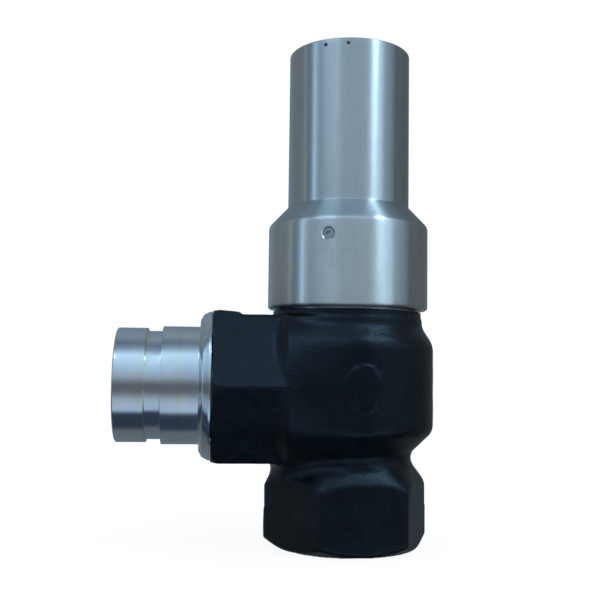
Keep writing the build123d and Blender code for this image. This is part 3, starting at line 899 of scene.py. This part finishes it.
def add_thread(name, slot, node, radius, start, length, pitch, depth, across=None):
    """Adds one thread's ridge to the housing, its base sunk in the wall at the given radius."""
    host = add_object(name, bpy.data.meshes.new(name))
    winder = host.modifiers.new("wind", "NODES")
    winder.node_group = thread_tree
    sizes = {
        "Radius": radius * MM,
        "Length": length * MM,
        "Turns": length / pitch,
        "Ridge Depth": depth * MM,
        "Ridge Width": RIDGE_SHARE * pitch * MM,
        "Start Height": start * MM,
        "Steps": RIDGE_STEPS,
        "Finish": finishes[slot],
    }
    for item in thread_tree.interface.items_tree:
        if item.in_out == "INPUT":
            winder[item.identifier] = sizes[item.name]
    mesh = with_modifiers(host)
    host.modifiers.remove(winder)
    bpy.data.objects.remove(host)
    clean(mesh, merge=None, dissolve=False)
    if across is not None:
        mesh.transform(across)
    finish_piece(name, mesh, slot, "housing", node)


finish_piece("casting_skin", make_casting(), "casting_paint", "housing", "valve_body")

# Machined inlet port and neck, which the skin leaves room for

LINER_R = 33.4
PORT_MOUTH = 1.2            # chamfer at the mouth of the thread

inlet_liner = rounded(
    (
        (PORT_R + PORT_MOUTH, 0.0),
        (LINER_R, 0.0),
        (LINER_R, 24.2),
        (PORT_R, 26.3),
        (PORT_R, PORT_MOUTH),
    )
)
finish_piece("inlet_port", lathe("inlet_port", inlet_liner), "machined_steel", "housing", "valve_body")
add_thread(
    "inlet_thread",
    "machined_steel",
    "valve_body",
    PORT_R,
    start=2.4,
    length=21.6,
    pitch=PIPE_PITCH,
    depth=1.35,
)

NECK_FOOT_R = 34.3
NECK_FOOT_Z = SHOULDER_Z - 0.4
NECK_ROOT_R = NECK_R - 1.2  # foot of the neck thread's ridge
NECK_EDGE = 1.0
NECK_GROOVE_R, NECK_GROOVE_LOW_Z, NECK_GROOVE_HIGH_Z = 35.0, 127.8, 131.0
SLEEVE_GROOVE_R, SLEEVE_GROOVE_LOW_Z, SLEEVE_GROOVE_HIGH_Z = 33.2, 111.0, 113.8

neck_outline = rounded(
    (
        (NECK_BORE_R, CHAMBER_TOP_Z),
        (NECK_FOOT_R, CHAMBER_TOP_Z),
        (NECK_FOOT_R, NECK_FOOT_Z),
        (NECK_ROOT_R, NECK_FOOT_Z),
        (NECK_ROOT_R, NECK_GROOVE_LOW_Z),
        (NECK_GROOVE_R, NECK_GROOVE_LOW_Z),
        (NECK_GROOVE_R, NECK_GROOVE_HIGH_Z),
        (NECK_ROOT_R, NECK_GROOVE_HIGH_Z),
        (NECK_ROOT_R, NECK_TOP_Z - NECK_EDGE),
        (NECK_ROOT_R - NECK_EDGE, NECK_TOP_Z),
        (NECK_BORE_R, NECK_TOP_Z),
        (NECK_BORE_R, SLEEVE_GROOVE_HIGH_Z),
        (SLEEVE_GROOVE_R, SLEEVE_GROOVE_HIGH_Z),
        (SLEEVE_GROOVE_R, SLEEVE_GROOVE_LOW_Z),
        (NECK_BORE_R, SLEEVE_GROOVE_LOW_Z),
    )
)
finish_piece("neck", lathe("neck", neck_outline), "machined_steel", "housing", "valve_body")
add_thread(
    "neck_thread",
    "machined_steel",
    "valve_body",
    NECK_ROOT_R,
    start=132.4,
    length=30.0,
    pitch=2.0,
    depth=1.1,
)

# Outlet nipple, drawn upright and laid along the outlet

NIPPLE_WAIST_R = 28.0       # plain run behind the thread
FACE_GROOVE_IN_R, FACE_GROOVE_OUT_R, FACE_GROOVE_DEPTH = 32.25, 34.95, 2.7
FLANGE_X = 79.2
PIPE_GROOVE_X = NIPPLE_X - PIPE_GROOVE_REACH

nipple_outline = rounded(
    (
        (NIPPLE_BORE_R, NIPPLE_INNER_X),
        (NIPPLE_THREAD_R - 1.0, NIPPLE_INNER_X),
        (NIPPLE_THREAD_R, NIPPLE_INNER_X + 1.0),
        (NIPPLE_THREAD_R, 71.0),
        (NIPPLE_WAIST_R, 71.6),
        (NIPPLE_WAIST_R, BOSS_X),
        (FACE_GROOVE_IN_R, BOSS_X),
        (FACE_GROOVE_IN_R, BOSS_X + FACE_GROOVE_DEPTH),
        (FACE_GROOVE_OUT_R, BOSS_X + FACE_GROOVE_DEPTH),
        (FACE_GROOVE_OUT_R, BOSS_X),
        (39.5, BOSS_X, 0.25),
        (39.4, 74.4, 0.5),
        (37.7, 77.6, 1.4),
        (34.6, FLANGE_X, 0.8),
        (SHANK_R, FLANGE_X, 0.5),
        (SHANK_R, PIPE_GROOVE_X - PIPE_GROOVE_WIDTH, 0.35),
        (PIPE_GROOVE_R, PIPE_GROOVE_X - PIPE_GROOVE_WIDTH, 0.3),
        (PIPE_GROOVE_R, PIPE_GROOVE_X, 0.3),
        (PIPE_R, PIPE_GROOVE_X, 0.35),
        (PIPE_R, NIPPLE_X - 0.6, 0.4),
        (PIPE_R - 0.6, NIPPLE_X, 0.3),
        (NIPPLE_BORE_R + 0.8, NIPPLE_X, 0.3),
        (NIPPLE_BORE_R, NIPPLE_X - 0.8, 0.4),
    ),
    step=12.0,
)
nipple_mesh = lathe("nipple", lengthened(nipple_outline, longest=4.0), segments=224, across=OUTLET_PLACE)
finish_piece("nipple", nipple_mesh, "zinc_plate", "housing", "outlet_nipple")
add_thread(
    "nipple_thread",
    "zinc_plate",
    "outlet_nipple",
    NIPPLE_THREAD_R,
    start=53.4,
    length=17.0,
    pitch=PIPE_PITCH,
    depth=1.15,
    across=OUTLET_PLACE,
)

# Bonnet

RIM_EDGE = 0.8
RIM_HOLE_ANGLES = (-120.8, -99.7)
RIM_HOLE_R = 1.0
RIM_HOLE_DROP = 3.2         # below the rim
SCREW_HOLE_R = 3.05
TOP_VENT_R, TOP_VENT_X = 1.5, 20.0  # hole through the wall between the spring's room and the recess
PAST_WALL = 1.5             # how far its drill runs past that wall

bonnet_outline = rounded(
    (
        (COLLAR_BORE_R, COLLAR_Z + 1.0),
        (COLLAR_BORE_R + 1.0, COLLAR_Z),
        (COLLAR_R, COLLAR_Z, 1.6),
        (COLLAR_R, COLLAR_TOP_Z, 4.0),
        (HOUSING_R, CONE_TOP_Z, 0.8),
        (HOUSING_R, RIM_Z - RIM_EDGE, 0.5),
        (HOUSING_R - RIM_EDGE, RIM_Z, 0.5),
        (RECESS_R + RIM_EDGE, RIM_Z, 0.4),
        (RECESS_R, RIM_Z - RIM_EDGE, 0.4),
        (RECESS_R, RECESS_Z, 0.6),
        (ADJUSTER_R, RECESS_Z),
        (ADJUSTER_R, SPRING_ROOM_TOP_Z),
        (SPRING_ROOM_R, SPRING_ROOM_TOP_Z, 3.0),
        (SPRING_ROOM_R, COLLAR_BORE_TOP_Z),
        (COLLAR_BORE_R, COLLAR_BORE_TOP_Z),
    ),
    step=10.0,
)
bonnet_mesh = lathe("bonnet", lengthened(bonnet_outline, longest=2.6), segments=256)
cutters = []
for angle in RIM_HOLE_ANGLES:
    hole = drill(RIM_HOLE_R, HOUSING_R - 7.0, HOUSING_R + 1.0, sides=24)
    hole.transform(radial(angle, RIM_Z - RIM_HOLE_DROP))
    cutters.append(hole)
screw_hole = drill(SCREW_HOLE_R, COLLAR_R - 8.0, COLLAR_R + 1.0, sides=40)
screw_mouth = drill(SCREW_HOLE_R, COLLAR_R - 0.6, COLLAR_R + 0.4, sides=40, widened=1.0)
for tool in (screw_hole, screw_mouth):
    tool.transform(radial(SCREW_ANGLE, SCREW_Z))
    cutters.append(tool)
top_vent = drill(TOP_VENT_R, SPRING_ROOM_TOP_Z - PAST_WALL, RECESS_Z + PAST_WALL, sides=24)
top_vent.transform(Matrix.Translation((TOP_VENT_X * MM, 0, 0)))
cutters.append(top_vent)
finish_piece("spring_housing", cut_away(bonnet_mesh, cutters), "turned_aluminium", "housing", "bonnet")

# Collar screw, sunk in its hole

SCREW_R = 3.0
SCREW_IN, SCREW_OUT = 37.5, 42.5  # its ends, from the valve's axis
SCREW_SOCKET_R = 1.73

screw_outline = rounded(
    (
        (0, SCREW_IN),
        (SCREW_R - 1.0, SCREW_IN),
        (SCREW_R, SCREW_IN + 1.0),
        (SCREW_R, SCREW_OUT - 0.6),
        (SCREW_R - 0.6, SCREW_OUT, 0.15),
        (0, SCREW_OUT),
    )
)
screw_socket = drill(SCREW_SOCKET_R, SCREW_OUT - 2.5, SCREW_OUT + 1.0, sides=6)
screw_mesh = cut_away(lathe("collar_screw", screw_outline, segments=48), [screw_socket])
screw_mesh.transform(radial(SCREW_ANGLE, SCREW_Z))
finish_piece("collar_screw", screw_mesh, "zinc_plate", "housing", "bonnet_set_screw")

# Rubber rings: name, radius, section, height, body, CAD node and where the ring is laid

rings = (
    ("sleeve_ring", 32.1, 1.05, 112.4, "housing", "sleeve_o_ring", None),
    ("neck_ring", 36.25, 1.2, 129.4, "housing", "bonnet_o_ring", None),
    ("piston_ring", 26.47, 1.5, 120.0, "piston_group", "piston_o_ring", None),
    ("nipple_ring", 33.6, 1.3, 74.6, "housing", "nipple_o_ring", OUTLET_PLACE),
)
for name, radius, section, height, body, node, across in rings:
    ring = lathe(name, circle_points(radius, height, section), segments=160, across=across)
    finish_piece(name, ring, "black_rubber", body, node)

# Seal of the check plate

SEAL_IN_R, SEAL_STEP_R, SEAL_OUT_R = 21.85, 23.35, 28.45
SEAL_LOW_Z, SEAL_STEP_Z, SEAL_TOP_Z = 68.5, 69.5, 73.0

seal_outline = rounded(
    (
        (SEAL_IN_R, SEAL_STEP_Z, 0.1),
        (SEAL_STEP_R, SEAL_STEP_Z),
        (SEAL_STEP_R, SEAL_LOW_Z, 0.3),
        (SEAL_OUT_R, SEAL_LOW_Z, 0.4),
        (SEAL_OUT_R, SEAL_TOP_Z, 0.3),
        (SEAL_IN_R, SEAL_TOP_Z, 0.3),
    ),
    step=15.0,
)
seal_mesh = lathe("moulded_seal", seal_outline, segments=160)
finish_piece("moulded_seal", seal_mesh, "black_rubber", "valve_disc", "plate_seal")

# Springs of round wire, with closed and ground ends

CLOSED_TURNS = 0.85         # turns that lie closed at each end
OPENING_TURNS = 0.4         # turns over which they open
CLOSED_PITCH = 2.02         # pitch of the closed turns, in wire radii
GROUND_SHARE = 0.25         # height of the wire's middle over a ground end, in wire radii
WIRE_SPOTS = 2401           # places at which the pitch is worked out
WIRE_STEPS = 44             # rings of points in one turn
WIRE_SIDES = 16


def wound_wire(name, radius, wire, low, high, turns, first=0.0, last=1.0):
    """Spring about Z between two heights, or the run of it between two shares of its turns."""
    end_pitch = CLOSED_PITCH * wire
    seated = GROUND_SHARE * wire
    spots = np.linspace(0, turns, WIRE_SPOTS)
    opening = np.clip((np.minimum(spots, turns - spots) - CLOSED_TURNS) / OPENING_TURNS, 0, 1)
    opening = opening * opening * (3 - 2 * opening)
    spare = high - low - 2 * seated - end_pitch * turns
    rate = end_pitch + spare * opening / np.mean(opening) / turns
    rise = np.concatenate([[0], np.cumsum((rate[1:] + rate[:-1]) / 2 * np.diff(spots))])
    count = round((last - first) * turns * WIRE_STEPS) + 1
    here = np.linspace(first * turns, last * turns, count)
    pitch = np.interp(here, spots, rate)
    angle = 2 * math.pi * here
    outward = np.stack([np.cos(angle), np.sin(angle), np.zeros_like(angle)], axis=-1)
    forward = [-radius * np.sin(angle), radius * np.cos(angle), pitch / (2 * math.pi)]
    forward = np.stack(forward, axis=-1)
    forward /= np.linalg.norm(forward, axis=1)[:, None]
    across = np.cross(outward, forward)
    centre = outward * radius
    centre[:, 2] = low + seated + np.interp(here, spots, rise)
    ring = np.arange(WIRE_SIDES) * 2 * math.pi / WIRE_SIDES
    places = (
        centre[:, None, :]
        + wire * np.cos(ring)[None, :, None] * outward[:, None, :]
        + wire * np.sin(ring)[None, :, None] * across[:, None, :]
    )
    places[..., 2] = np.clip(places[..., 2], low, high)
    faces = []
    for here_row in range(0, (count - 1) * WIRE_SIDES, WIRE_SIDES):
        next_row = here_row + WIRE_SIDES
        for k in range(WIRE_SIDES):
            after = (k + 1) % WIRE_SIDES
            faces.append((here_row + k, here_row + after, next_row + after, next_row + k))
    faces.append(tuple(range(WIRE_SIDES)))
    faces.append(tuple(range((count - 1) * WIRE_SIDES, count * WIRE_SIDES)))
    mesh = bpy.data.meshes.new(name)
    mesh.from_pydata((places.reshape(-1, 3) * MM).tolist(), [], faces)
    clean(mesh, dissolve=False)
    return mesh


# The main spring in two halves: name, its run of turns, the bodies below and above, and where, in metres,
# it begins and ends to follow the upper one
SPRING_LOW_Z, SPRING_HIGH_Z = 92.3, 233.7
halves = (
    ("main_spring_lower", 0.0, 0.5, "piston_group", "housing", 0.0985, 0.157),
    ("main_spring_upper", 0.5, 1.0, "housing", "spring_seat", 0.169, 0.2275),
)
for name, first, last, below, above, start, end in halves:
    wire_mesh = wound_wire(name, 17.0, 2.6, SPRING_LOW_Z, SPRING_HIGH_Z, 8.5, first, last)
    half = finish_piece(name, wire_mesh, "spring_steel", None, "main_spring")
    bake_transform(half)
light_spring = wound_wire("light_spring", radius=11.0, wire=0.9, low=78.3, high=87.7, turns=3.0)
finish_piece("light_spring", light_spring, "spring_steel", "piston_group", "check_spring")

# CAD nodes that keep their shape get their finishes

for part in frame["record"]["subparts"]:
    for place in frame["nodes"][part["node"]].material_slots:
        place.material = finishes[part["material_slot"]]

# Camera, fitted to the photograph's 600 x 600 frame

YAW, PITCH, ROLL = 0.0969, 0.0773, 0.0132
FOCAL_PX, FRAME_PX = 896.05, 600.0
SENSOR = 36.0
CAMERA_PLACE = (-72.98, -483.39, 93.09)

ahead = Vector((math.sin(YAW) * math.cos(PITCH), math.cos(YAW) * math.cos(PITCH), math.sin(PITCH)))
level = Vector((math.cos(YAW), -math.sin(YAW), 0))
upward = level.cross(ahead)
right = level * math.cos(ROLL) + upward * math.sin(ROLL)
top = upward * math.cos(ROLL) - level * math.sin(ROLL)
camera_data = bpy.data.cameras.new("camera")
camera_data.sensor_width = SENSOR
camera_data.sensor_fit = "HORIZONTAL"
camera_data.lens = FOCAL_PX * SENSOR / FRAME_PX
camera_data.clip_start = 0.01
camera = add_object("camera", camera_data)
turn = Matrix((right, top, -ahead)).transposed().to_4x4()
camera.matrix_world = Matrix.Translation(Vector(CAMERA_PLACE) * MM) @ turn
bpy.context.scene.camera = camera

# Light, in metres

LAMP_AIM = (0.0, 0.0, 0.11)


def lamp(name, place, width, height, power, colour):
    """Rectangular lamp that looks at the middle of the valve."""
    data = bpy.data.lights.new(name, "AREA")
    data.shape = "RECTANGLE"
    data.size = width
    data.size_y = height
    data.energy = power
    data.color = colour
    light = add_object(name, data)
    light.location = place
    light.rotation_euler = (Vector(LAMP_AIM) - Vector(place)).to_track_quat("-Z", "Y").to_euler()


lamp("key", (0.59, -0.50, 1.03), width=0.14, height=0.26, power=2.4, colour=(0.62, 0.87, 1.0))
lamp("fill", (-0.56, -0.49, 1.06), width=0.50, height=0.14, power=1.2, colour=(0.55, 0.80, 1.0))

# The room that gloss sees, by a direction's angle in the upright plane from front to back: 0 is level to the
# front, 90 is straight up, -90 straight down and 180 level to the back
room_heights = (
    (-180, (0.30, 0.33, 0.33)),
    (-130, (0.20, 0.22, 0.22)),
    (-104, (0.16, 0.18, 0.20)),
    (-92, (0.035, 0.05, 0.075)),
    (-57, (0.03, 0.045, 0.08)),
    (-51, (0.46, 0.62, 0.80)),
    (-30, (0.42, 0.52, 0.60)),
    (-15, (0.16, 0.18, 0.20)),
    (-1, (0.11, 0.13, 0.15)),
    (7, (0.20, 0.23, 0.27)),
    (14, (0.34, 0.42, 0.50)),
    (35, (0.48, 0.68, 0.86)),
    (62, (0.70, 1.0, 1.2)),
    (76, (0.28, 0.38, 0.48)),
    (90, (0.13, 0.20, 0.27)),
    (112, (0.32, 0.37, 0.40)),
    (180, (0.30, 0.33, 0.36)),
)

# What the room is multiplied by, by the way round: front at 0, right at 90, left at -90, back at 180
room_sides = (
    (-180, (0.50, 0.66, 0.80)),
    (-155, (0.62, 0.80, 0.96)),
    (-138, (0.56, 0.60, 0.62)),
    (-102, (0.62, 0.66, 0.68)),
    (-99, (1.9, 2.0, 2.1)),
    (-96, (0.56, 0.60, 0.64)),
    (-80, (0.56, 0.60, 0.64)),
    (-77, (3.4, 3.6, 3.8)),
    (-74, (0.62, 0.66, 0.68)),
    (-45, (0.74, 0.74, 0.74)),
    (-28, (1.0, 1.0, 1.0)),
    (41, (1.0, 1.0, 1.0)),
    (46, (2.5, 2.6, 2.7)),
    (50, (1.3, 1.3, 1.3)),
    (55, (2.5, 2.6, 2.7)),
    (60, (0.85, 0.86, 0.88)),
    (70, (0.72, 0.72, 0.72)),
    (90, (0.44, 0.44, 0.43)),
    (130, (0.34, 0.35, 0.34)),
    (180, (0.50, 0.66, 0.80)),
)


def make_world():
    """White to the camera, pale for diffuse light, and a room of pale and dark bands for gloss."""
    world = bpy.data.worlds.new("studio")
    bpy.context.scene.world = world
    world.use_nodes = True
    bench = Bench(world.node_tree)
    x, y, z = bench.split(bench.node("ShaderNodeTexCoord", output="Generated"))
    heights = bench.room(z.math("ARCTAN2", -y), room_heights)
    sides = bench.room(x.math("ARCTAN2", -y), room_sides)
    sides = bench.mix(off_axis(x, y), grey(1.0), sides)
    gloss = bench.mix(1.0, heights, sides, "MULTIPLY")
    lit = bench.mix(bench.ray("Glossy"), (0.50, 0.55, 0.62, 1), gloss)
    colour = bench.mix(bench.ray("Camera"), lit, grey(1.0))
    background = bench.node("ShaderNodeBackground", inputs={"Color": colour, "Strength": 1.0})
    bench.node("ShaderNodeOutputWorld", inputs={"Surface": background})


make_world()

FLOOR_REACH = 6.0           # metres
FLOOR_Z = -0.0002
FLOOR_GLOW = 1.12           # strength of the part that makes the floor white to the camera
FLOOR_GLOW_SHARE = 0.82     # how much of it the camera sees; the rest keeps the shadow


def make_floor():
    """Pale floor that shows the object's shadow faintly, and that gloss doesn't see."""
    mesh = bpy.data.meshes.new("floor")
    corners = [(x * FLOOR_REACH, y * FLOOR_REACH, 0) for x, y in ((-1, -1), (1, -1), (1, 1), (-1, 1))]
    mesh.from_pydata(corners, [], [(0, 1, 2, 3)])
    floor = add_object("floor", mesh)
    floor.location = (0, 0, FLOOR_Z)
    material = bpy.data.materials.new("floor")
    material.use_nodes = True
    bench = Bench(material.node_tree)
    matt = bench.node("ShaderNodeBsdfDiffuse", inputs={"Color": grey(0.85)})
    glow = bench.node("ShaderNodeEmission", inputs={"Color": grey(1.0), "Strength": FLOOR_GLOW})
    clear = bench.node("ShaderNodeBsdfTransparent")
    glow_share = FLOOR_GLOW_SHARE * bench.ray("Camera")
    seen = bench.node("ShaderNodeMixShader", inputs={0: glow_share, 1: matt, 2: glow})
    mixed = bench.node("ShaderNodeMixShader", inputs={0: bench.ray("Glossy"), 1: seen, 2: clear})
    bench.node("ShaderNodeOutputMaterial", inputs={"Surface": mixed})
    mesh.materials.append(material)


make_floor()
bpy.context.scene.view_settings.view_transform = "Standard"
